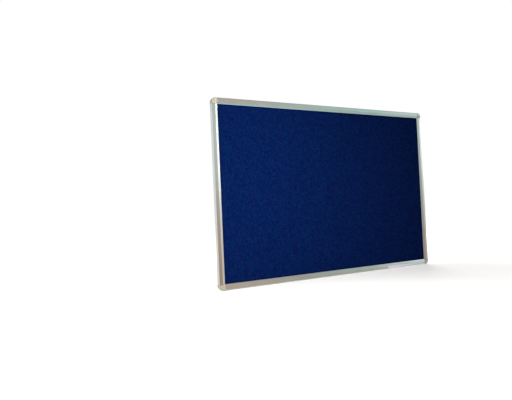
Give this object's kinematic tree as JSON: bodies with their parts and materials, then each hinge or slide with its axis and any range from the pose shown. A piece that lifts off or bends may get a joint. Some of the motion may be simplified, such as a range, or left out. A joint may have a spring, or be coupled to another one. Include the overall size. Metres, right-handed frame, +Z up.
{
  "type": "felt bulletin board",
  "caption": "Wall-mounted felt notice board: blue felt panel in a satin aluminium frame with rounded plastic corners, whose caps pull off over the wall fixings.",
  "frame": {"origin": "centre of the plane that lies against the wall, which is the rear face of the frame", "axes": "+X along the board's width, to the right as seen from the front; +Z up; the felt faces -Y and the wall is on +Y"},
  "size_m": [0.9, 0.016, 0.6],
  "materials": {
    "aluminium": "satin anodised",
    "corner_plastic": "moulded, fine grain",
    "block_plastic": "moulded",
    "felt": "needle-punched felt",
    "softboard": "pressed fibre",
    "hardboard": "screen-marked hardboard back",
    "steel": "zinc plated",
    "film": "blank printed-film stock"
  },
  "bodies": {
    "board": {"felt_cover": "felt", "softboard_core": "softboard", "hardboard_backing": "hardboard", "top_rail": "aluminium", "right_rail": "aluminium", "bottom_rail": "aluminium", "left_rail": "aluminium", "corner_block_top_left": "block_plastic", "corner_block_top_right": "block_plastic", "corner_block_bottom_right": "block_plastic", "corner_block_bottom_left": "block_plastic", "top_rail_screw_left": "steel", "top_rail_screw_right": "steel", "right_rail_screw_top": "steel", "right_rail_screw_bottom": "steel", "bottom_rail_screw_right": "steel", "bottom_rail_screw_left": "steel", "left_rail_screw_bottom": "steel", "left_rail_screw_top": "steel", "blank_strip": "film"},
    "cap_top_left": {"corner_cap_top_left": "corner_plastic"},
    "cap_top_right": {"corner_cap_top_right": "corner_plastic"},
    "cap_bottom_right": {"corner_cap_bottom_right": "corner_plastic"},
    "cap_bottom_left": {"corner_cap_bottom_left": "corner_plastic"}
  },
  "joints": [
    {"name": "cap_pull_top_left", "type": "slide", "parent": "board", "child": "cap_top_left", "axis": [0, -1, 0], "range_m": [0, 0.025]},
    {"name": "cap_pull_top_right", "type": "slide", "parent": "board", "child": "cap_top_right", "axis": [0, -1, 0], "range_m": [0, 0.025]},
    {"name": "cap_pull_bottom_right", "type": "slide", "parent": "board", "child": "cap_bottom_right", "axis": [0, -1, 0], "range_m": [0, 0.025]},
    {"name": "cap_pull_bottom_left", "type": "slide", "parent": "board", "child": "cap_bottom_left", "axis": [0, -1, 0], "range_m": [0, 0.025]}
  ]
}
